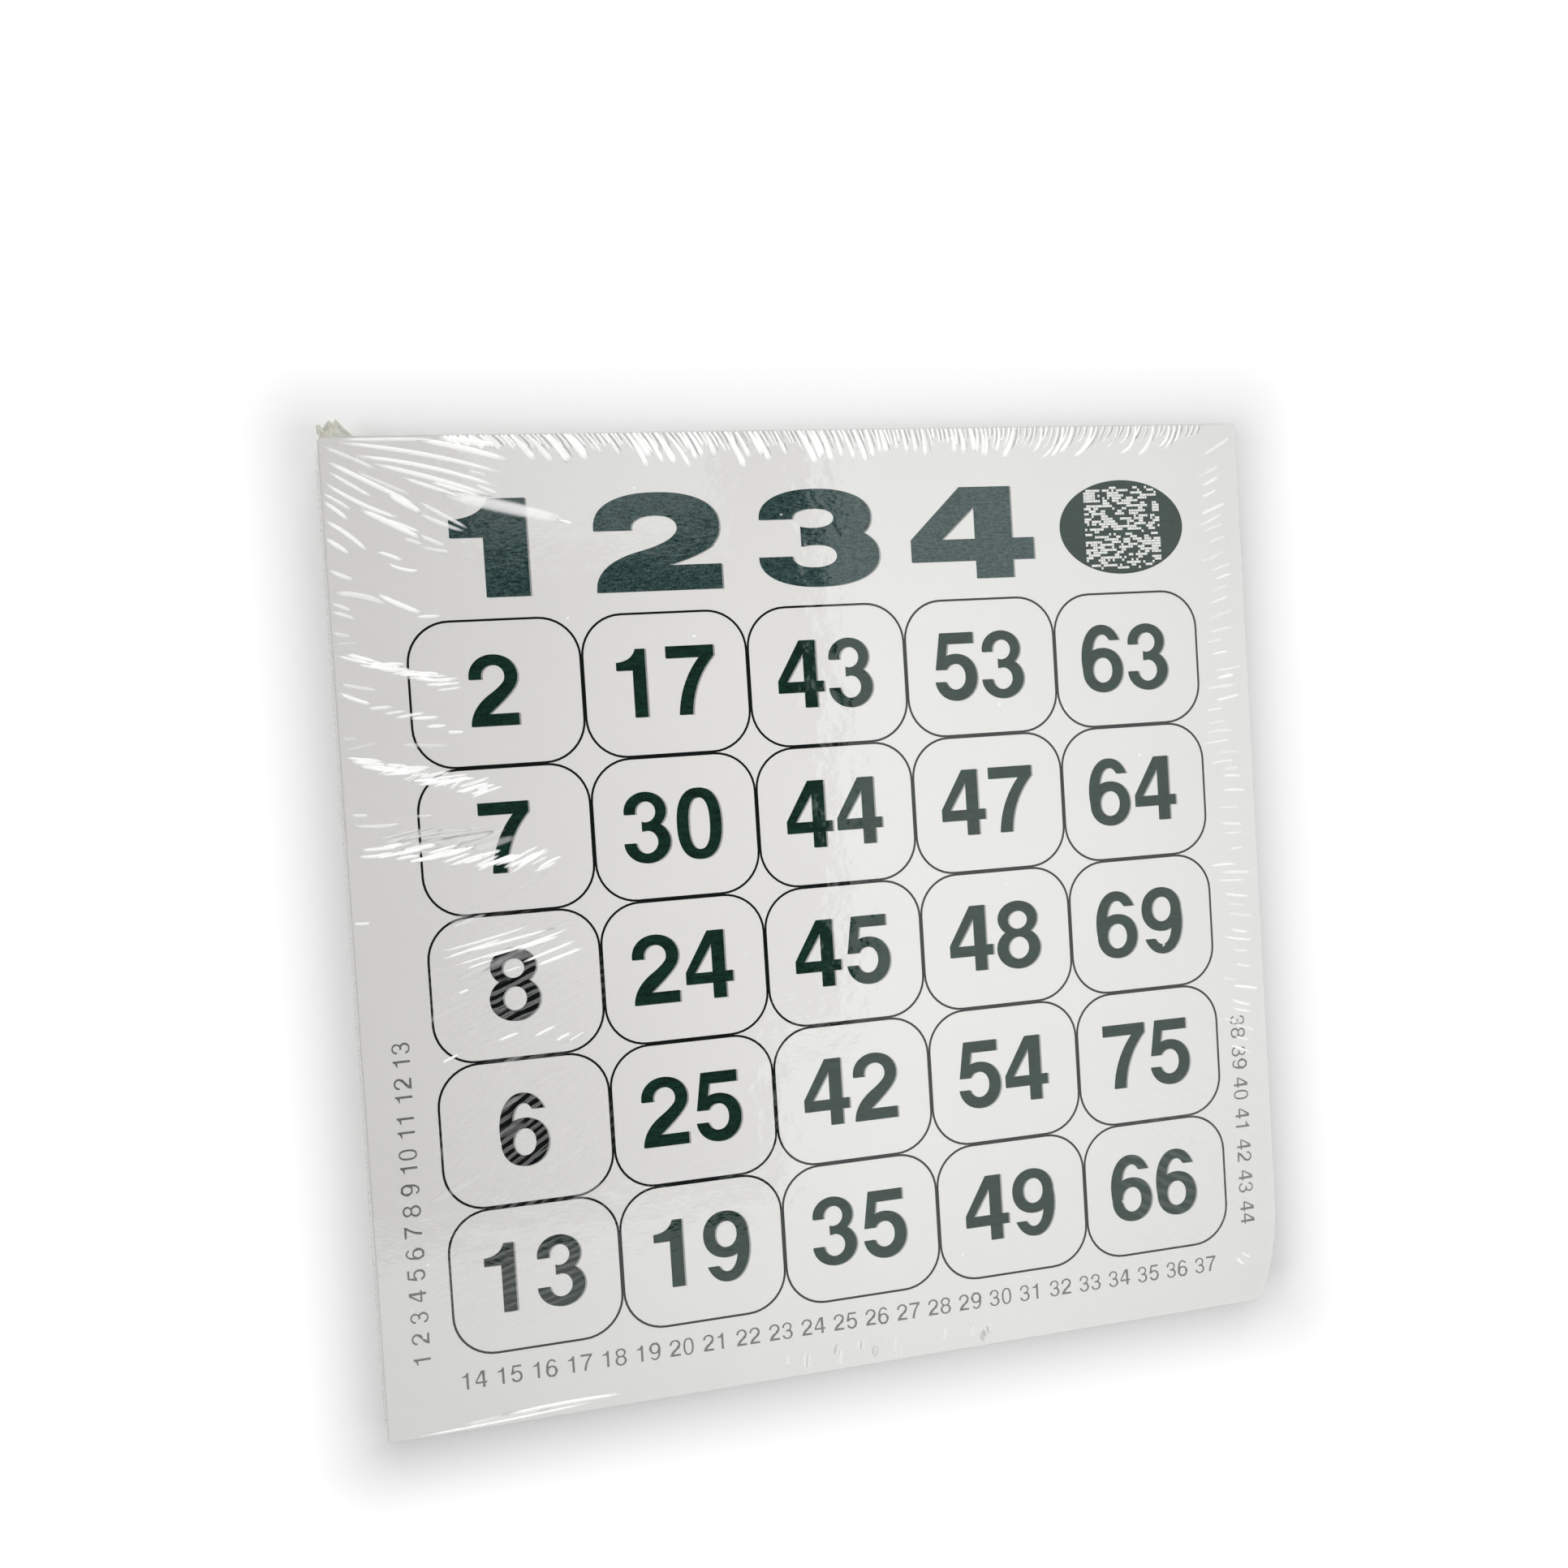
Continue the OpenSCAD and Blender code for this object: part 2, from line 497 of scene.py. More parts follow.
# the heading: wide heavy numerals over four columns, an oval of dots over the fifth
headingSet = Setup(
    baseline=49.95,
    middles=(-50.6, -25.1, 0.45, 26.1),
    oval=(52.35, 57.45, 11.03, 7.67),
    dotBlock=(45.8, 50.6, 59.3, 64.1),
    dotCount=32,
    dotShare=0.5,
    dotRun=3,  # the longest dash
    dotPad=0.06,  # share of a step left free around a dash
    dotRise=0.006,
    dotReach=0.985,  # how far into the oval's rim they go
    dotSeed=5,
)
wideNumerals = {
    1: (11.4, [
        (1, block(4.9, 0, 11.4, 12)), (1, block(5.9, 8.9, 11.4, 14.65)),
        (1, [(0, 8.9), (6, 8.9), (6, 14.65)] + bend((5.9, 14.65), (4.6, 11.7), (0, 11.6))),
    ]),
    2: (19.6, [
        (1, ring(9.75, 9.75, 9.75, 5.25, 2.3)), (0, ring(9.3, 9.55, 3.55, 1.9, 2.2)),
        (0, [(9.5, 9.3), (-2, 9.3), (-2, -1), (22, -1), (22, 5.2)]),
        (1, bend((18.4, 6.75), (16.4, 5.2), (11.4, 3.85)) + [(19.5, 3.85), (19.5, 0), (0, 0)]
         + bend((0, 0.6), (0.3, 4.3), (6.2, 5.9))[1:] + bend((6.2, 5.9), (11.6, 7.2), (12.4, 8.6))[1:]),
    ]),
    3: (19.6, [
        (1, ring(9.4, 10.45, 9.1, 4.5, 2.25)), (1, ring(9.8, 4.45, 9.8, 4.8, 2.25)),
        (0, ring(9.0, 10.35, 3.35, 1.5, 2.2)), (0, ring(9.0, 4.45, 3.6, 1.75, 2.2)),
        (0, block(-1, 4.5, 6.9, 10.3)),
    ]),
    4: (21.0, [
        (1, [(8.6, 14.65), (17.3, 14.65), (17.3, 6.35), (21, 6.35), (21, 2.85), (17.3, 2.85), (17.3, 0),
             (10.9, 0), (10.9, 2.85), (0, 2.85), (0, 6.4)]),
        (0, [(10.9, 11.4), (5.3, 6.35), (10.9, 6.35)]),
    ]),
}


def makeHeading(setup):
    marks = Print()
    aside, down, _ = printSet.fringe
    for middle, (width, shape) in zip(setup.middles, wideNumerals.values()):
        flat, left, base = fillShape(shape), middle - width / 2, setup.baseline
        marks.add(thicken(flat, inkLow, inkHigh), lambda x, y: (x + left, y + base))
        fringe.add(thicken(flat, inkLow, paintedGhostHigh), lambda x, y: (x + left + aside, y + base + down))
    marks.lay("head_numerals", "headInk")
    fringe.lay("number_fringe", "paintedGhostInk")
    x, y, rx, ry = setup.oval
    oval, dots = Print(), Print()
    oval.add(thicken(fillShape([(1, ring(x, y, rx, ry, 2.0, 96))]), inkLow, inkHigh))
    oval.lay("head_oval", "numberInk")
    draw = random.Random(setup.dotSeed).uniform
    x0, y0, x1, _ = setup.dotBlock
    count, share = setup.dotCount, setup.dotShare
    step = (x1 - x0) / count
    pad = step * setup.dotPad
    for row in range(count):
        low, column = y0 + row * step, 0
        while column < count:
            run = 1  # neighbours that are both pale make one dash
            while draw(0, 1) < share and run < setup.dotRun:
                run += 1
            left, right = x0 + column * step, x0 + min(column + run, count) * step
            far = max(abs(left - x), abs(right - x)) / rx, max(abs(low - y), abs(low + step - y)) / ry
            if draw(0, 1) < share and hypot(*far) < setup.dotReach:
                dash = block(left + pad, low + pad, right - pad, low + step - pad), [(0, 1, 2), (0, 2, 3)]
                dots.add(thicken(dash, pack.face, inkHigh + setup.dotRise))
            column += run
    dots.lay("oval_dots", "dotInk")


makeHeading(headingSet)
print("heading printed")

# a small plain count that runs along three margins
marginSet = Setup(
    size=0.255, gap=1.1, thin=0.34,
    runs=(  # start, direction it is read in, length
        ((-67.1, -63.4), 90, 53.0),
        ((-63.1, -68.0), 0, 126.4),
        ((67.4, -25.2), -90, 36.8),
    ),
)


def makeMargin(setup):
    count, sheet, size = 1, Print(), setup.size
    advance = printSet.advance * size
    thin = {key: thinned(flat, setup.thin) for key, flat in numeralFlats.items()}
    solids = {key: thicken(flat, inkLow, inkHigh) for key, flat in thin.items()}
    for (x, y), angle, length in setup.runs:
        (c, s), along = heading(angle), 0.0
        while along + len(str(count)) * advance <= length:
            for letter in str(count):
                sheet.add(solids[letter], lambda a, b: (
                    x + (along + a * size) * c - b * size * s, y + (along + a * size) * s + b * size * c))
                along += advance
            along += setup.gap
            count += 1
    sheet.lay("margin_count", "marginInk")


makeMargin(marginSet)
print("margins printed")

# the film

filmSet = Setup(
    gloss=0.078,  # both faces of the film together, seen straight on
    roughness=0.04,
    lie=0.022,  # the film above the board where it lies flat
    sway=0.008,  # height of its slow swell
    peel=0.45,  # grain of the film's fine unevenness, and its depth
    peelDepth=0.01,
    wave=4.0,  # its slow waves
    waveDepth=0.06,
    meshStep=1.7,
    seed=23,
)


def makeFilm(setup):
    finish = Finish("clearFilm")
    slope = finish.node("LayerWeight", {}, {0: 0.5}, "Facing")
    mirror = (setup.gloss + (slope ** 5) * 0.9).clamp()
    crease = finish.node("Attribute", {"attribute_name": "crease"}, {}, "Fac")
    where = finish.place()
    drawn = finish.noise(finish.place((0.25, 1.4, 1), 18), 0.7, 3.0)
    rub = finish.noise(where, 9.0, 3.0)
    haze = crease * (0.55 + drawn * 0.7) + 0.001
    bands = {"wave_type": "BANDS", "bands_direction": "Y"}
    # painted reflection: white bands in the film for light mirrored by its ripples
    for patch in paintedReflectionStripes:
        beat = {0: finish.place(turn=patch.heading), "Scale": pi / (10 * patch.pitch * mm),
                "Distortion": 4.5, "Detail": 2.0, "Detail Scale": 0.7}
        band = finish.ramp(finish.node("TexWave", bands, beat, "Fac"), (0.46, 0.0), (0.55, 1.0))
        scratch = finish.noise(finish.place((0.1, 1.4, 1), patch.heading), 0.5)
        band = band * finish.ramp(scratch, (0.36, 0.15), (0.46, 1.0))
        pale = (0.7 + rub * 0.6) * patch.white
        haze = haze + band * finish.spot(patch.middle, patch.half) * pale
    haze = haze.clamp()
    peel = finish.noise(finish.place((0.5, 1, 1)), setup.peel)
    uneven = peel * setup.peelDepth + finish.noise(where, setup.wave) * setup.waveDepth
    inputs = {
        "Color": tint(1, 1, 1),
        "Roughness": setup.roughness + rub * 0.03,
        "Normal": finish.bump(uneven, 1.0, 1.0),
    }
    glossy = finish.node("BsdfAnisotropic", {}, inputs)
    white = finish.solid(tint(0.8, 0.8, 0.79), 0.3, {})
    return finish.close(finish.mix(haze, finish.mix(mirror, finish.clear(), glossy), white))


def makeCreased():  # film folded so sharply that it turns white; the white also stands for bright light mirrored by the folds, a painted highlight
    finish = Finish("creasedFilm")
    crease = finish.node("Attribute", {"attribute_name": "crease"}, {}, "Fac")
    drawn = finish.noise(finish.place((0.3, 1.2, 1), 18), 0.9)
    bright = crease.math("GREATER_THAN", crease, 0.0)  # below 0 it is painted shade, the shaded side of a pleat
    colour = finish.blend(bright, tint(0.42, 0.42, 0.41), tint(0.97, 0.97, 0.96))
    # painted highlight: the white side glows a little, as if it mirrored a bright light
    glow = finish.blend(bright, tint(0, 0, 0), tint(1, 1, 1))
    inputs = {"Emission Color": glow, "Emission Strength": 0.12}
    whiteningAndPaintedLight = finish.solid(colour, 0.2 + drawn * 0.2, inputs)
    share = crease.math("ABSOLUTE", crease) * (0.9 + drawn * 0.25)
    return finish.close(finish.mix(share.clamp(), finish.clear(), whiteningAndPaintedLight))


def makeSeal(name, body, thick, rough):  # film that has been melted or crumpled together
    finish = Finish(name)
    where = finish.place()
    cloud, fold = finish.noise(where, 1.4, 3.0), finish.noise(where, 0.35)
    share = finish.ramp(cloud * 0.6 + fold * 0.4, (0.3, thick - 0.2), (0.7, thick + 0.2))
    colour = finish.blend(cloud, body, tint(*[min(1, v * 1.18) for v in body[:3]]))
    solid = finish.solid(colour, rough + fold * 0.25, {"Normal": finish.bump(fold, 0.4, 0.08)})
    return finish.close(finish.mix(share, finish.clear(), solid))


def outline(grow, step):  # the card's outline, moved outwards and cut into even steps
    half, radius = pack.half, pack.cornerRadius
    turn, tip, long = radians(pack.bluntTurn), pack.tipRadius, pack.bluntRadius
    longX, longY = half - long, tip - half + (long - tip) * sin(turn)
    tipX, tipY = longX + (long - tip) * cos(turn), tip - half
    arcs = (
        (half - radius, half - radius, radius, 0, 90), (radius - half, half - radius, radius, 90, 180),
        (radius - half, radius - half, radius, 180, 270), (tipX, tipY, tip, 270, 360 - pack.bluntTurn),
        (longX, longY, long, -pack.bluntTurn, 0),
    )
    corners = []
    for x, y, r, start, end in arcs:
        for k in range(9):
            c, s = heading(start + (end - start) * k / 8)
            corners.append((x + (r + grow) * c, y + (r + grow) * s))
    loop = []
    for (ax, ay), (bx, by) in zip(corners, corners[1:] + corners[:1]):
        pieces = max(1, round(hypot(bx - ax, by - ay) / step))
        if hypot(bx - ax, by - ay) > 1e-6:
            loop += [(ax + (bx - ax) * k / pieces, ay + (by - ay) * k / pieces) for k in range(pieces)]
    return np.array(loop)


def spread(t, width, flare, blunt):  # half width along a crease, drawn to a point at its free ends
    turn = np.pi * (blunt + (1 - blunt) * t)
    return width * (0.25 + 0.75 * np.sin(turn) ** 0.5) * (1 + flare * (2 * t - 1))


class Creases:  # ridges in the film: each runs from one point to another with a slight bow
    # across a ridge: place as a share of its half width, height and whiteness
    section = ((-1.2, 0, 0), (-0.95, 0.1, 0.3), (-0.7, 0.34, 0.8), (-0.35, 0.8, 1), (0, 1, 1),
               (0.35, 0.8, 1), (0.7, 0.34, 0.8), (0.95, 0.1, 0.3), (1.2, 0, 0))
    sunk = 0.01  # its rim below the sheet
    settled = 0.6  # share of its height that is left when the film has shrunk
    station = 0.45  # length of a step along it

    def __init__(self):
        self.rows = []

    def add(self, x0, y0, x1, y1, width, height, haze=0.5, bow=0.0, flare=0.0, blunt=0.0):
        self.rows.append((x0, y0, x1, y1, width, height, min(1, haze), bow, flare, blunt))

    def head(self, x, y, angle, length, *looks):  # by its middle and heading
        dx, dy = (v * length / 2 for v in heading(angle))
        self.add(x - dx, y - dy, x + dx, y + dy, *looks)

    def slivers(self):  # each ridge as a closed sliver: flat places, lifts, whiteness and faces
        flat, lifts, white, faces = [], [], [], []
        wide = len(self.section)
        row = wide + 2  # the rim again, for the underside
        for x0, y0, x1, y1, width, height, haze, bow, flare, blunt in self.rows:
            length = hypot(x1 - x0, y1 - y0)
            ux, uy = (x1 - x0) / length, (y1 - y0) / length
            count, first = max(6, int(length / self.station)), len(flat)
            for k in range(count + 1):
                t = k / count
                half = spread(t, width, flare, blunt)
                taper = min(1, (t + blunt) * 6, (1 - t) * 6)
                for share, tall, pale in self.section:
                    d = share * half + bow * length * 4 * t * (1 - t)
                    flat.append((x0 + ux * length * t - uy * d, y0 + uy * length * t + ux * d))
                    rise = self.settled * height * tall * min(1, half / width)
                    lifts.append(rise - self.sunk * (tall == 0))
                    white.append(haze * pale * taper)
                for rim in (-wide, -2):
                    flat.append(flat[rim])
                    lifts.append(-self.sunk)
                    white.append(0)
            for k in range(count):
                a = first + k * row
                faces += [(a + j + 1, a + j, a + row + j, a + row + j + 1) for j in range(wide - 1)]
                faces.append((a + wide, a + wide + 1, a + row + wide + 1, a + row + wide))
            faces.append(tuple(range(first, first + wide)))
            faces.append(tuple(range(first + count * row, first + count * row + wide))[::-1])
        return np.array(flat), np.array(lifts), white, faces


def headGathers(creases, draw, setup):  # the comb of short pleats along the head
    x, edge, dark = setup.start, setup.edge, setup.shade
    while x < setup.end:
        keys = ("lean", "bow", "reach", "stout", "room")
        lean, bow, reach, stout, room = (np.interp(x, *zip(*setup[key])) for key in keys)
        kind = setup["tall" if draw(0, 1) < setup.tallShare else "short"]
        length = draw(*kind.length) * reach
        tip = x + (lean + draw(-0.1, 0.1)) * length
        width, curve = draw(*kind.width) * stout, bow * draw(0.6, 1.4)
        creases.add(x, edge, tip, edge - length, width, draw(*setup.height),
                    draw(*kind.white), curve, kind.flare, setup.blunt)
        # painted shade: a grey sliver beside each pleat
        start, end = x + width + dark.gap, length * draw(*dark.length)
        creases.add(start, edge, start + lean * end, edge - end, dark.width, dark.height,
                    -draw(*dark.share), curve, 0.0, setup.blunt)
        x += draw(*setup.pitch) * room


def feather(creases, draw, row):  # a bunch of short streaks along a line
    x0, y0, x1, y1, count, angles, lengths, room, width, height, haze = row
    for k in range(count):
        t = (k + draw(0, 1)) / count
        angle = angles[0] + (angles[1] - angles[0]) * t + draw(-5, 5)
        x, y = x0 + (x1 - x0) * t, y0 + (y1 - y0) * t + draw(-room, room)
        creases.head(x, y, angle, draw(*lengths), width * draw(0.7, 1.25), height * draw(0.7, 1.1),
                     haze * draw(0.6, 1.1), draw(-0.03, 0.03))


def sideTicks(creases, draw, setup):  # faint folds along the right margin, turning as they go down
    y = setup.foot
    while y < setup.head:
        angle = np.interp(y, *zip(*setup.turn)) + draw(-4, 4)
        x = draw(*setup.middles)
        creases.head(x, y, angle, draw(*setup.lengths), draw(*setup.widths),
                     setup.height, draw(*setup.white), draw(-0.04, 0.04))
        y += draw(*setup.pitch)


wrinkleSet = Setup(
    gathers=Setup(
        start=-56.0, end=68.0, edge=73.95, pitch=(0.55, 1.0), tallShare=0.42, height=(0.26, 0.4),
        blunt=0.25,
        # painted shade: the grey line beside each pleat
        shade=Setup(gap=0.16, length=(0.6, 0.95), width=0.15, height=0.03, share=(0.2, 0.5)),
        short=Setup(length=(1.8, 3.6), width=(0.15, 0.3), white=(0.5, 0.95), flare=0.1),
        tall=Setup(length=(3.6, 5.8), width=(0.34, 0.6), white=(0.75, 1.0), flare=0.45),
        stout=((-51, 1.15), (0, 1.0), (26, 0.9), (36, 0.8), (67, 0.8)),
        room=((-51, 1.0), (20, 1.05), (34, 1.3), (67, 1.3)),
        lean=((-51, 1.0), (-38, 0.75), (-20, 0.5), (0, 0.42), (12, 0.25), (26, 0.1), (34, -0.35),
              (48, -0.75), (67, -0.5)),
        bow=((-51, 0.04), (20, 0.03), (34, 0.1), (60, 0.14), (67, 0.08)),
        reach=((-56, 0.3), (-50, 0.6), (-40, 0.9), (-25, 1.0), (0, 1.0), (20, 0.85), (40, 1.1), (54, 1.1),
               (67, 0.6)),
    ),
    # from, to, then width, height and haze (white that is partly painted highlight) in hundredths, and its
    # bow if it has one
    fan=(
        (-71, 73.6, -57, 73.5, 28, 15, 75), (-60, 73.5, -46.6, 70.1, 50, 30, 100, 0.02),
        (-57, 73.7, -48.5, 72.5, 60, 30, 100), (-71.8, 73.2, -47.2, 68.1, 36, 26, 90, 0.028),
        (-73.5, 72.7, -66, 69.2, 32, 20, 60, 0.01), (-69.6, 71.3, -48.1, 66.1, 34, 26, 95, 0.033),
        (-66.8, 70.1, -49.6, 64.9, 40, 26, 90, 0.015), (-62.6, 68, -54, 64.9, 30, 24, 85),
        (-58.6, 67.3, -51, 64.9, 30, 24, 90), (-52.8, 68.8, -50.2, 68, 26, 15, 45),
        (-52, 66.7, -48.6, 65.2, 28, 20, 70), (-73.2, 70.6, -60.4, 63.7, 40, 28, 95),
        (-69.2, 69, -61.2, 65.3, 30, 20, 50), (-64.7, 65.7, -60, 62.8, 55, 30, 100),
        (-72.9, 69, -66.8, 65.1, 30, 24, 80), (-73.7, 67.6, -63.1, 62, 34, 26, 90, -0.045),
        (-68.9, 63.5, -60.2, 58.9, 46, 30, 100, 0.01), (-65.4, 62, -60.4, 59.9, 30, 26, 90),
        (-62.8, 59.1, -60.2, 58.1, 28, 20, 60), (-73.9, 65.9, -69.9, 63.3, 28, 22, 75, 0.02),
        (-73.8, 64.7, -70.5, 61.9, 34, 26, 95, 0.02), (-73.9, 62, -68.1, 57.3, 36, 26, 95, 0.04),
        (-73.9, 59.4, -70.7, 57.1, 38, 26, 90), (-60.6, 64.5, -53.4, 60.2, 32, 24, 65),
        (-60.5, 62.7, -54, 59.8, 34, 24, 60, -0.02), (-60.7, 59.5, -56.8, 57.7, 34, 22, 60),
        (-60.5, 57.7, -56.1, 56.8, 28, 20, 50), (-57, 65.5, -38.8, 61.1, 100, 30, 70),
        (-40.2, 61.2, -37.9, 60.6, 26, 20, 90), (-66.8, 57.2, -63.2, 55.8, 30, 24, 90, 0.03),
        (-65.4, 55.5, -60.8, 54.3, 28, 24, 90, -0.08), (-73.8, 54.8, -70.3, 53.3, 34, 20, 75, -0.03),
        (-73.3, 51.4, -65.9, 49.5, 46, 24, 60, 0.06), (-67.2, 51.1, -60.9, 48, 40, 28, 100, -0.02),
        (-61.9, 47.5, -58.2, 47.5, 28, 20, 80), (-73.8, 50, -70.9, 48.8, 28, 18, 60),
        (-73.8, 48.7, -70.4, 47.5, 28, 18, 60, 0.03), (-73.9, 45.7, -71.3, 45, 28, 16, 45),
        (-73.5, 44, -70.2, 44.1, 26, 10, 25), (-73.5, 38.2, -68, 37, 28, 18, 50),
        (-73.6, 36.9, -69, 35, 32, 26, 95, -0.02), (-69.7, 34.4, -66, 34.5, 28, 20, 70),
        (-67.4, 33.5, -64.2, 33.8, 25, 20, 70), (-66, 32.8, -61.4, 33.4, 25, 20, 80),
        (-63.7, 32.6, -59.5, 32.6, 28, 22, 95), (-61.6, 31.3, -58.4, 31.3, 28, 22, 90),
        (-58.6, 30.3, -56, 30.2, 27, 20, 85), (-73.6, 30.2, -71.3, 30.2, 30, 12, 30),
        (-72.9, 28.6, -68.5, 29.4, 26, 10, 25), (-65.7, 28.9, -58, 28.3, 30, 12, 35),
        (-73, 19, -70.6, 18.8, 28, 16, 60), (-73, 17.5, -65.6, 17.4, 28, 18, 55, -0.04),
        (-64.2, 18.2, -61.3, 18.2, 26, 12, 35), (-69.7, 15.2, -61.2, 16.4, 28, 14, 30),
        (-66.7, 14.7, -54, 15.7, 28, 16, 40, 0.03), (-73.8, 3.1, -71.4, 3, 26, 16, 80),
        (-70.1, -73.8, -43, -72.8, 26, 28, 100, -0.006), (-57.5, -72.7, -38.5, -72.35, 36, 26, 100, 0.012),
        (-64, -73.2, -50, -72.7, 50, 20, 45), (-62, -2.2, -47.8, 0.7, 22, 20, 75, -0.01),
        (-61.6, -3.3, -52, -0.9, 26, 20, 85), (-58.5, -2.6, -44.6, -0.1, 26, 20, 90),
        (-56.2, -3.8, -42.1, -0.2, 24, 22, 95, -0.015), (-50.6, -2.9, -44, -1.3, 30, 22, 90),
        (-59.8, -4.4, -50.5, -2.4, 20, 20, 70), (-58.1, -5, -54, -4, 24, 20, 85),
        (-50, -4.9, -41.3, -2.2, 26, 24, 100), (-48, -5.6, -40.3, -3.4, 30, 24, 100),
        (-52.6, -6, -49.8, -5.4, 20, 20, 60), (-60, 1.4, -54.6, 2.9, 34, 14, 35),
        (-59.5, -8.6, -57.9, -8.1, 24, 20, 90), (-54.2, -16.2, -50.9, -15.3, 24, 20, 95),
        (-48.9, -16.2, -45.4, -14.8, 24, 20, 95), (-45.7, -17.2, -43.3, -16.1, 24, 20, 95),
        (-43.9, -17.5, -41.1, -16.2, 22, 20, 80), (-62.6, -18.6, -60, -17.6, 24, 20, 90),
        (67.6, 68.9, 73.4, 72.1, 30, 16, 60, -0.03), (66.2, -66.4, 67.6, -67.8, 30, 20, 80),
        (67.2, -65.6, 69, -66.8, 28, 18, 70),
    ),
    # along a line: from, to, how many, headings, lengths, room to each side, width, height, haze (partly
    # painted highlight)
    feathers=(
        (-71.2, 42.0, -57.4, 37.4, 28, (-15, 0), (2.6, 5.2), 0.75, 0.25, 0.22, 1.0),
        (-72.0, 27.2, -52.8, 21.4, 36, (-14, 16), (2.8, 5.6), 0.85, 0.26, 0.22, 1.0),
        (-68.0, 25.4, -57.0, 22.8, 13, (22, 32), (2.0, 3.6), 0.6, 0.2, 0.2, 0.9),
        (-70.0, 13.7, -44.6, 9.9, 46, (3, 26), (3.0, 6.4), 0.9, 0.26, 0.22, 1.0),
        (-65.0, 14.8, -52.0, 13.2, 9, (8, 14), (6.0, 10.0), 1.2, 0.5, 0.03, 0.4),
    ),
    # fine parallel lines: left, foot, right, head, how many, heading, lengths, width, height, haze (partly
    # painted highlight)
    stripes=(
        (-14, -72.8, 24, -70.6, 18, 82, (1.6, 3.2), 0.42, 0.03, 0.3),
        (-66, -44, -42, 8, 16, 24, (5, 11), 0.5, 0.03, 0.14),
    ),
    ticks=Setup(foot=-31.0, head=67.0, pitch=(1.2, 2.8), middles=(67.6, 70.6), lengths=(2.8, 6.0),
                widths=(0.18, 0.32), height=0.07, white=(0.4, 0.85),
                turn=((-68, -45), (-50, -30), (-10, -9), (10, -1), (45, 15), (66, 24))),
    specks=Setup(count=22, reach=70, length=0.7, width=0.2, height=0.03, white=(0.1, 0.7)),
)
backSet = Setup(count=150, edge=73.5, reach=70, lengths=(1.5, 6), lean=20, widths=(0.25, 0.5),
                heights=(0.01, 0.022), white=(0.1, 0.4))


def makeWrinkles(setup, seed):
    creases, draw = Creases(), random.Random(seed).uniform
    headGathers(creases, draw, setup.gathers)
    for x0, y0, x1, y1, width, height, haze, *bow in setup.fan:
        creases.add(x0, y0, x1, y1, width / 100, height / 100, haze / 100, *bow)
    for row in setup.feathers:
        feather(creases, draw, row)
    sideTicks(creases, draw, setup.ticks)
    for x0, y0, x1, y1, count, angle, lengths, width, height, haze in setup.stripes:
        for k in range(count):
            y = y0 + (y1 - y0) * (k + draw(0, 1)) / count
            creases.head(draw(x0, x1), y, angle + draw(-3, 3), draw(*lengths), width,
                         height * draw(0.6, 1.3), haze * draw(0.4, 1.2))
    speck = setup.specks
    for k in range(speck.count):
        x, y = (draw(-speck.reach, speck.reach) for _ in range(2))
        creases.head(x, y, draw(0, 180), speck.length, speck.width, speck.height, draw(*speck.white))
    return creases


def backWrinkles(setup, seed):  # plain gathers along the edges of the back
    creases, draw, edge = Creases(), random.Random(seed).uniform, setup.edge
    for k in range(setup.count):
        side, along = k % 4, draw(-setup.reach, setup.reach)
        length, lean = draw(*setup.lengths), draw(-setup.lean, setup.lean)
        x, y = ((along, edge), (-edge, along), (along, -edge), (edge, along))[side]
        dx, dy = (v * length for v in heading((270, 0, 90, 180)[side] + lean))
        creases.add(x, y, x + dx, y + dy, *(draw(*setup[key]) for key in ("widths", "heights", "white")))
    return creases


# how the film goes over the edge: outwards from the card, and down as a share of the way to the join
sideProfile = ((0.06, 0.004), (0.1, 0.018), (0.12, 0.05), (0.13, 0.13), (0.13, 0.3), (0.14, 0.55),
               (0.2, 0.8), (0.27, 1.0))
edgeSet = Setup(
    grow=0.03,  # the sheet's edge beyond the card
    step=0.55,
    room=0.3,  # from the edge to the first inner point
    fold=0.04,
    most=0.32,  # the farthest that a fold goes out
    white=(0.3, 0.1),  # at the bend and below it
    bend=0.06,
)


def sway(x, y):  # slow waves of a film under tension
    short, cross, long = x * 0.31 + y * 0.17, y * 0.43 - x * 0.11 + 1.3, x * 0.09 - y * 0.07 + 0.4
    return (np.sin(short) + np.sin(cross) + np.sin(long)) / 3


def filmPiece(name, spots, faces, white, material, sense):
    if sense < 0:
        faces = [f[::-1] for f in faces]
    piece = meshPiece(name, spots, faces, material, True)
    crease = piece.data.attributes.new("crease", "FLOAT", "POINT")
    crease.data.foreach_set("value", np.array(white, np.float32))
    piece.visible_shadow = False  # so thin that what it stops of the light it also passes on
    return piece


def makeCreases(name, creases, level, sense, material, setup):
    flat, lifts, white, faces = creases.slivers()
    rise = sheetRise(flat, setup) + lifts
    spots = [(x, y, level + sense * r) for (x, y), r in zip(flat, rise)]
    filmPiece(name, spots, faces, white, material, sense)
    print(name, len(creases.rows), "creases", len(spots), "points")


def sheetRise(flat, setup):  # the sheet's height above its level
    return setup.lie + setup.sway * (1 + sway(flat[:, 0], flat[:, 1]))


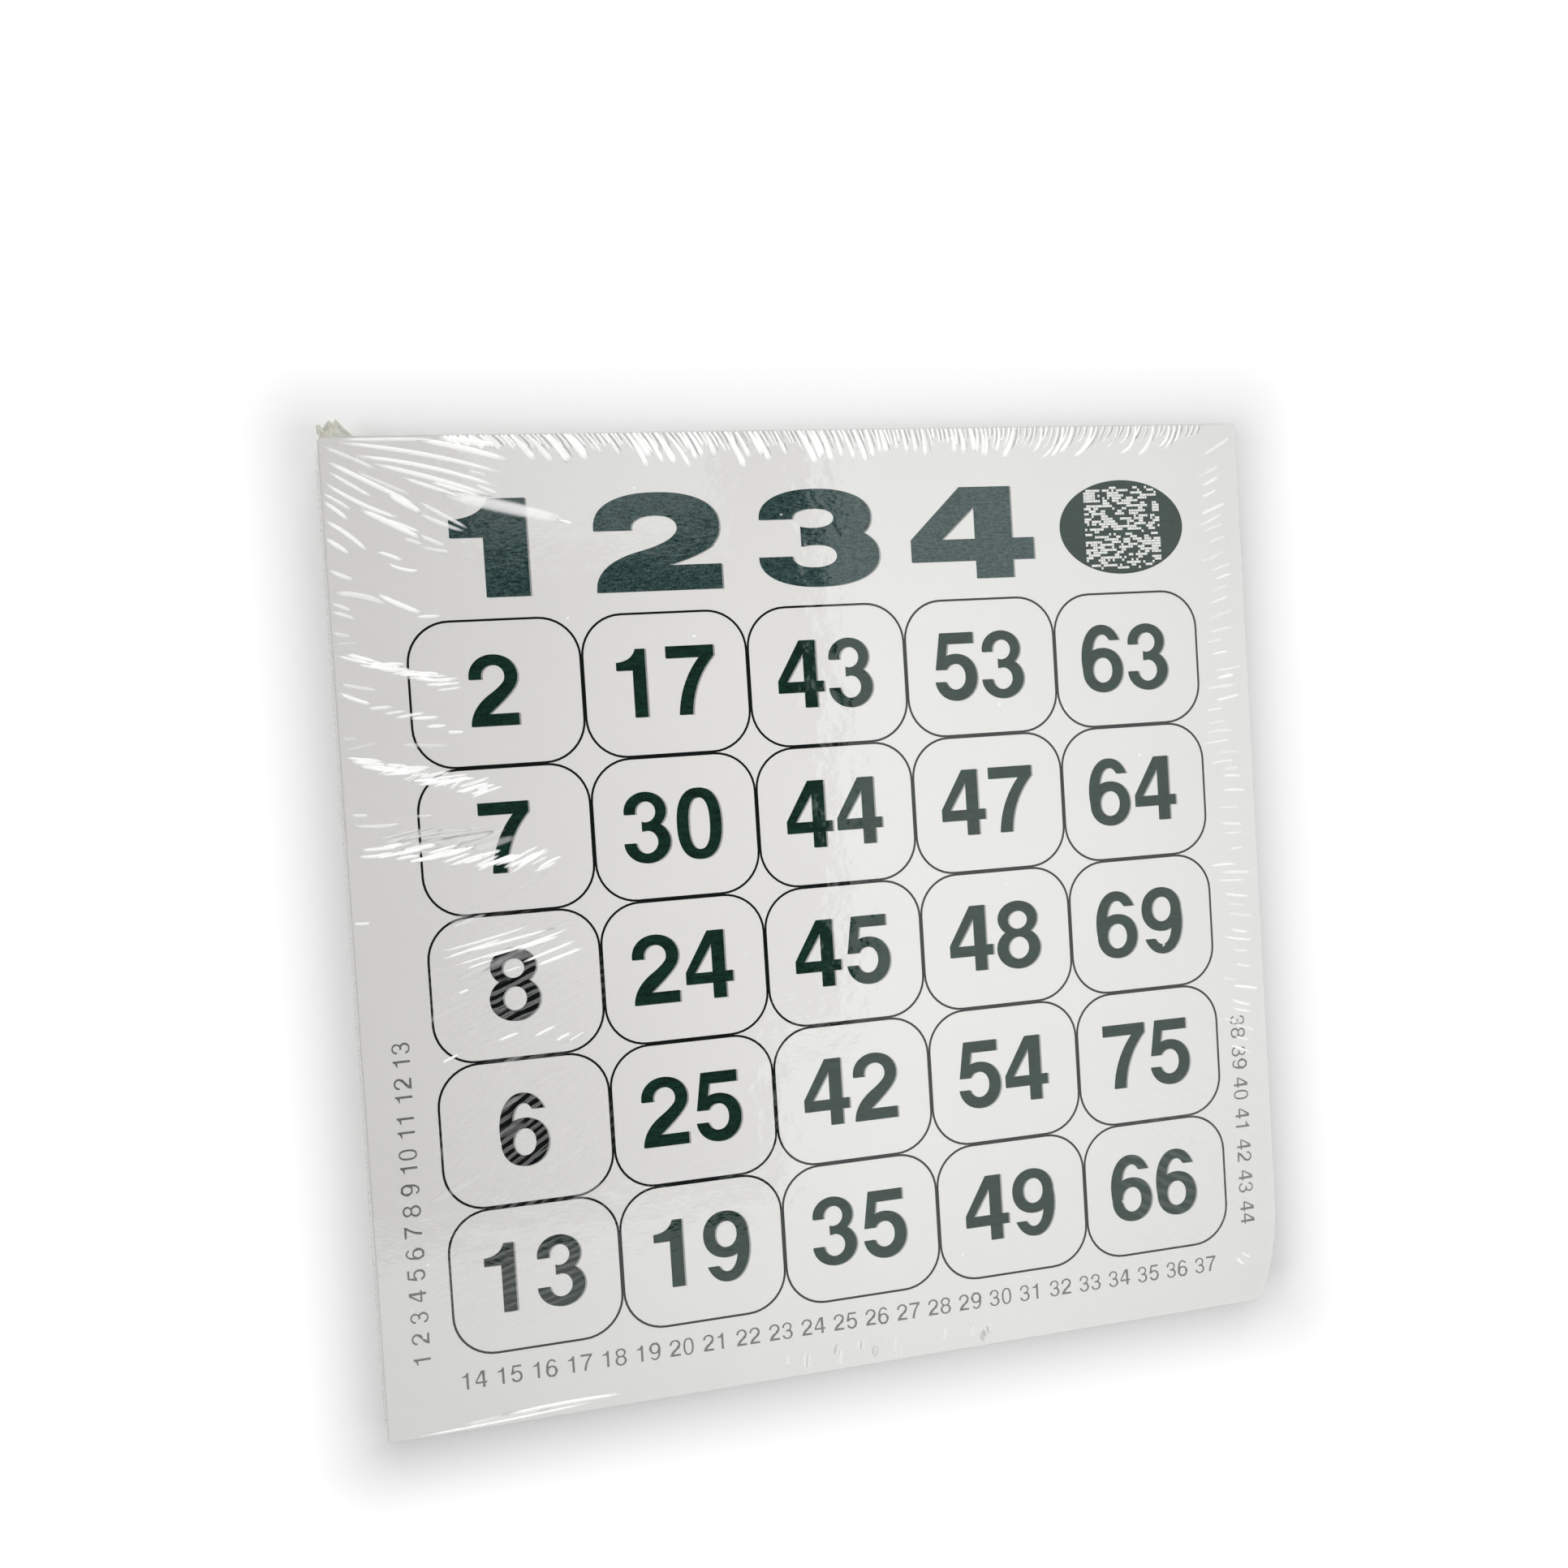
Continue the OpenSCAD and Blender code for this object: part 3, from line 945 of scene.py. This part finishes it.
def makeSheet(name, node, level, sense, material, setup):
    edge = outline(edgeSet.grow, edgeSet.step)
    count = len(edge)
    run = np.roll(edge, -1, 0) - np.roll(edge, 1, 0)
    outward = np.stack([run[:, 1], -run[:, 0]], 1) / np.linalg.norm(run, axis=1)[:, None]
    span = np.arange(-pack.half, pack.half + 0.01, setup.meshStep)
    shift = 0.5 * setup.meshStep  # every other row
    inside = np.array([(x + shift * (k % 2), y) for k, y in enumerate(span) for x in span])
    room = np.full(len(inside), 1e9)
    for place, way in zip(edge, outward):  # the outline is convex, so each edge is a limit
        room = np.minimum(room, (place - inside) @ way)
    points = [Vector(p) for p in edge] + [Vector(p) for p in inside[room > edgeSet.room]]
    loop = [(k, (k + 1) % count) for k in range(count)]
    points, _, faces, origin, *_ = delaunay_2d_cdt(points, loop, [], 1, 1e-6)
    flat = np.array([(p.x, p.y) for p in points])
    spots = [(x, y, level + sense * r) for (x, y), r in zip(flat, sheetRise(flat, setup))]
    white = [0.0] * len(spots)
    rim = {source: k for k, sources in enumerate(origin) for source in sources if source < count}
    solids, rings = [tuple(f) for f in faces], [rim]
    for g, drop in sideProfile:
        row = []
        for k in range(count):
            x, y = edge[k]
            along = k * edgeSet.step
            ripple = 0.5 + 0.5 * sin(along * 1.9 + 2.2 * sin(along * 0.37) + drop * 2)
            fold = edgeSet.fold * ripple * sin(pi * min(1, drop * 1.5 + 0.2)) * (drop < 1)
            out = min(g + fold, edgeSet.most)
            z = spots[rim[k]][2] + (pack.join - spots[rim[k]][2]) * drop
            spots.append((x + outward[k][0] * out, y + outward[k][1] * out, z))
            white.append(edgeSet.white[drop >= edgeSet.bend] * (0.6 + 0.4 * ripple))
            row.append(len(spots) - 1)
        rings.append(row)
    for upper, lower in zip(rings, rings[1:]):
        solids += [(upper[k], lower[k], lower[j], upper[j]) for k, j in loop]
    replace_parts(filmPiece(name, spots, solids, white, material, sense), node)
    print(name, len(spots), "points", len(solids), "faces")


film, creased = makeFilm(filmSet), makeCreased()
frontFolds, backFolds = makeWrinkles(wrinkleSet, filmSet.seed), backWrinkles(backSet, filmSet.seed + 1)
makeSheet("film_front_sheet", "film_front", pack.face, 1, film, filmSet)
makeCreases("front_creases", frontFolds, pack.face, 1, creased, filmSet)
underSet = Setup(filmSet, lie=0.008, meshStep=4.0)
makeSheet("film_back_sheet", "film_back", pack.back, -1, film, underSet)
makeCreases("back_creases", backFolds, pack.back, -1, creased, underSet)

# the melted beads where the sheets were sealed
weldSet = Setup(
    out=0.14,  # half sizes of its section
    tall=0.25,
    off=0.115,  # its middle from the inner face
    inset=0.03,  # at each end
    taper=1.5,  # length of an end
    lift=0.035,
    step=0.7,
    around=10,
    seed=3,
)


def makeWeld(name, node, setup, seed):
    low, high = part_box(node)
    low, high = low / mm, high / mm
    axis = 0 if high.x - low.x > high.y - low.y else 1
    length = high[axis] - low[axis]
    across = 1 - axis
    inner, outer = sorted((low[across], high[across]), key=abs)
    way = 1 if outer > inner else -1
    draw, around = random.Random(seed).uniform, setup.around
    count = int(length / setup.step)
    wave = [draw(0, 6.28) for _ in range(4)]
    points, faces = [], []
    for k in range(count + 1):
        s = k / count
        end = min(1, 0.3 + min(s, 1 - s) * length / setup.taper)
        along = low[axis] + setup.inset + (length - 2 * setup.inset) * s
        beat = sin(along * 2.3 + wave[0]) + sin(along * 5.1 + wave[1]) + draw(-0.6, 0.6)
        out = setup.out * end * (1 + 0.06 * beat)
        tall = setup.tall * end * (1 + 0.1 * sin(along * 1.1 + wave[2]) + 0.09 * draw(-1, 1))
        lift = setup.lift * sin(along * 0.6 + wave[3])
        for a in range(around):
            angle = 2 * pi * a / around
            place = [0, 0, pack.join + lift + tall * sin(angle)]
            place[axis] = along
            place[across] = inner + way * (setup.off + out * cos(angle))
            points.append(tuple(place))
    for start in range(0, count * around, around):
        for a in range(around):
            b = (a + 1) % around
            faces.append((start + a, start + b, start + around + b, start + around + a))
    faces.append(tuple(range(around))[::-1])
    faces.append(tuple(range(count * around, (count + 1) * around)))
    if (way > 0) == (axis == 0):
        faces = [f[::-1] for f in faces]
    piece = meshPiece(name, points, faces, weldFinish, True)
    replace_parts(piece, node)


weldFinish = makeSeal("meltedBead", tint(0.8, 0.8, 0.78), 0.2, 0.5)
for number, side in enumerate(("head", "left", "foot")):
    makeWeld("bead_" + side, "weld_" + side, weldSet, weldSet.seed + number)
print("welds laid")

# the crumpled ear of spare film at the upper left corner
earSet = Setup(
    left=-73.4, base=74.3, width=5.0, length=3.1,
    rim=((-0.02, 0), (-0.15, 0.34), (-0.15, 0.68), (-0.06, 0.71), (0.03, 0.52), (0.12, 0.76), (0.21, 0.93),
         (0.28, 0.8), (0.36, 0.86), (0.42, 0.98), (0.5, 0.8), (0.66, 0.5), (0.84, 0.22), (1, 0)),
    across=52, out=16, fold=0.3, thick=0.07, seed=9,
)


def makeEar(setup):
    draw = random.Random(setup.seed).uniform
    marks = np.linspace(0, 1, len(setup.rim))
    phase = [draw(0, 6.28) for _ in range(4)]
    points, faces = [], []
    wide = setup.across + 1
    for j in range(setup.out + 1):
        v = j / setup.out
        for i in range(wide):
            u = i / setup.across
            rimX, rimY = (np.interp(u, marks, axis) for axis in zip(*setup.rim))
            x = setup.left + setup.width * (u + (rimX - u) * v)
            y = setup.base + setup.length * rimY * v
            pleat = sin(19 * u + 2.5 * v + phase[0]) * 0.7 + sin(34 * u - 6 * v + phase[1]) * 0.3
            crush = sin(11 * v + 7 * u + phase[2]) * 0.35
            z = pack.join + setup.fold * (pleat + crush) * (0.35 + 0.65 * v) / 1.2
            points.append((x, y, z))
    for j in range(setup.out):
        for i in range(setup.across):
            a = j * wide + i
            faces.append((a, a + 1, a + wide + 1, a + wide))
    finish = makeSeal("crumpledFilm", tint(0.7, 0.7, 0.62), 0.8, 0.3)
    ear = meshPiece("film_ear", points, faces, finish, True)
    shell = ear.modifiers.new("thickness", "SOLIDIFY")
    shell.thickness, shell.offset = setup.thick * mm, 0
    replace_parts(ear, "corner_ear")


makeEar(earSet)
print("ear crumpled")

# floor, light and world

stageSet = Setup(
    floorTone=0.92,
    floorGlow=0.05,  # only what the camera and mirrors see
    reach=4.0,
    level=-0.0001,
    card=((0.0022, -0.0009, 0), (0.0767, 0.0766, 1)),  # the part's middle and half sizes, as seen
    far=(0.0, 0.0105),  # between these distances from it the floor fades into the backdrop
    sky=0.69,
    overhead=0.03,
)


def makeFloor(setup):
    finish = Finish("studioFloor")
    rays = ("Is Camera Ray", "Is Glossy Ray", "Is Transmission Ray")
    seen, mirrored, through = (finish.read("LightPath", ray) for ray in rays)
    shown = (seen + mirrored + through).clamp()
    coord = finish.read("TexCoord", "Object")
    sides = finish.vector("ABSOLUTE", finish.vector("SUBTRACT", coord, setup.card[0]))
    beyond = finish.vector("SUBTRACT", sides, setup.card[1])
    away = finish.vector("LENGTH", finish.vector("MAXIMUM", beyond, (0, 0, 0)), out="Value")
    fade = finish.node("MapRange", {}, {0: away, 1: setup.far[0], 2: setup.far[1]})
    matt = finish.node("BsdfDiffuse", {}, {"Color": tint(*[setup.floorTone] * 3)})
    glow = finish.node("Emission", {}, {"Color": tint(1, 1, 1), "Strength": shown * setup.floorGlow})
    lit = finish.node("AddShader", {}, {0: matt, 1: glow})
    plain = finish.node("Emission", {}, {"Color": tint(1, 1, 1)})
    finish.close(finish.mix(fade * shown, lit, plain))
    mesh = bpy.data.meshes.new("floor")
    half = setup.reach / 2
    corners = [(x, y, setup.level) for x, y in block(-half, -half, half, half)]
    mesh.from_pydata(corners, [], [(0, 1, 2, 3)])
    mesh.materials.append(finish.owner)
    floor = bpy.data.objects.new("floor", mesh)
    scene.collection.objects.link(floor)


def makeWorld(setup):
    world = bpy.data.worlds.new("studio")
    scene.world = world
    finish = Finish("studio", world)
    coord = finish.read("TexCoord", "Generated")
    height = finish.node("SeparateXYZ", {}, {0: coord}, 2)
    sky = finish.ramp(height, (0.6, setup.sky), (0.8, setup.overhead))
    lit = finish.node("Background", {}, {0: sky})
    seen = finish.read("LightPath", "Is Camera Ray")
    white = finish.node("Background", {}, {0: tint(1, 1, 1)})
    finish.close(finish.mix(seen, lit, white))


# places in metres, sides, brightness of the lit face; a lamp without an aim points down
lampSet = Setup(  # the film doesn't mirror these
    headBox=Setup(place=(-0.05, 0.88, 0.47), aim=(0, 0, 0), sides=(0.6, 0.42), bright=4.6),
    leftBox=Setup(place=(-0.88, -0.05, 0.47), aim=(0, 0, 0), sides=(0.42, 0.6), bright=4.0),
    overFill=Setup(place=(0.034, -0.008, 0.1), sides=(0.125, 0.21), bright=0.7),
    midFill=Setup(place=(-0.016, 0.01, 0.06), sides=(0.03, 0.14), bright=0.36),
    rightBox=Setup(place=(0.88, -0.05, 0.47), aim=(0, 0, 0), sides=(0.42, 0.6), bright=1.2),
)
veil = (0.94, 1.0, 0.975)  # hue of the panels
mirrorSet = Setup(  # bright panels of the room that are only seen in the film
    rightPanel=Setup(place=(0.422, -0.15, 0.5), sides=(0.556, 0.9), bright=0.94),
    footPanel=Setup(place=(-0.078, -0.371, 0.5), sides=(0.444, 0.358), bright=0.85),
    cornerPanel=Setup(place=(0.125, -0.154, 0.5), sides=(0.038, 0.076), bright=0.9),
    footStrip=Setup(place=(-0.053, -0.395, 0.5), sides=(0.394, 0.21), bright=0.9),
    headPanel=Setup(place=(0.0375, 0.209, 0.5), sides=(0.115, 0.182), bright=0.6),
)


def makeLamp(name, setup, hue=(1, 1, 1)):
    data = bpy.data.lights.new(name, "AREA")
    data.shape = "RECTANGLE"
    data.size, data.size_y = setup.sides
    data.energy = setup.bright * pi * data.size * data.size_y
    data.color = hue
    lamp = bpy.data.objects.new(name, data)
    lamp.location = setup.place
    x, y, _ = setup.place
    way = Vector(setup.get("aim", (x, y, 0))) - lamp.location
    lamp.rotation_euler = way.to_track_quat("-Z", "Y").to_euler()
    lamp.visible_camera = False
    scene.collection.objects.link(lamp)
    return lamp


makeFloor(stageSet)
makeWorld(stageSet)
for name, setup in lampSet.items():
    makeLamp(name, setup).visible_glossy = False
for name, setup in mirrorSet.items():
    makeLamp(name, setup, veil).visible_diffuse = False
print("stage lit")

bpy.context.view_layer.update()
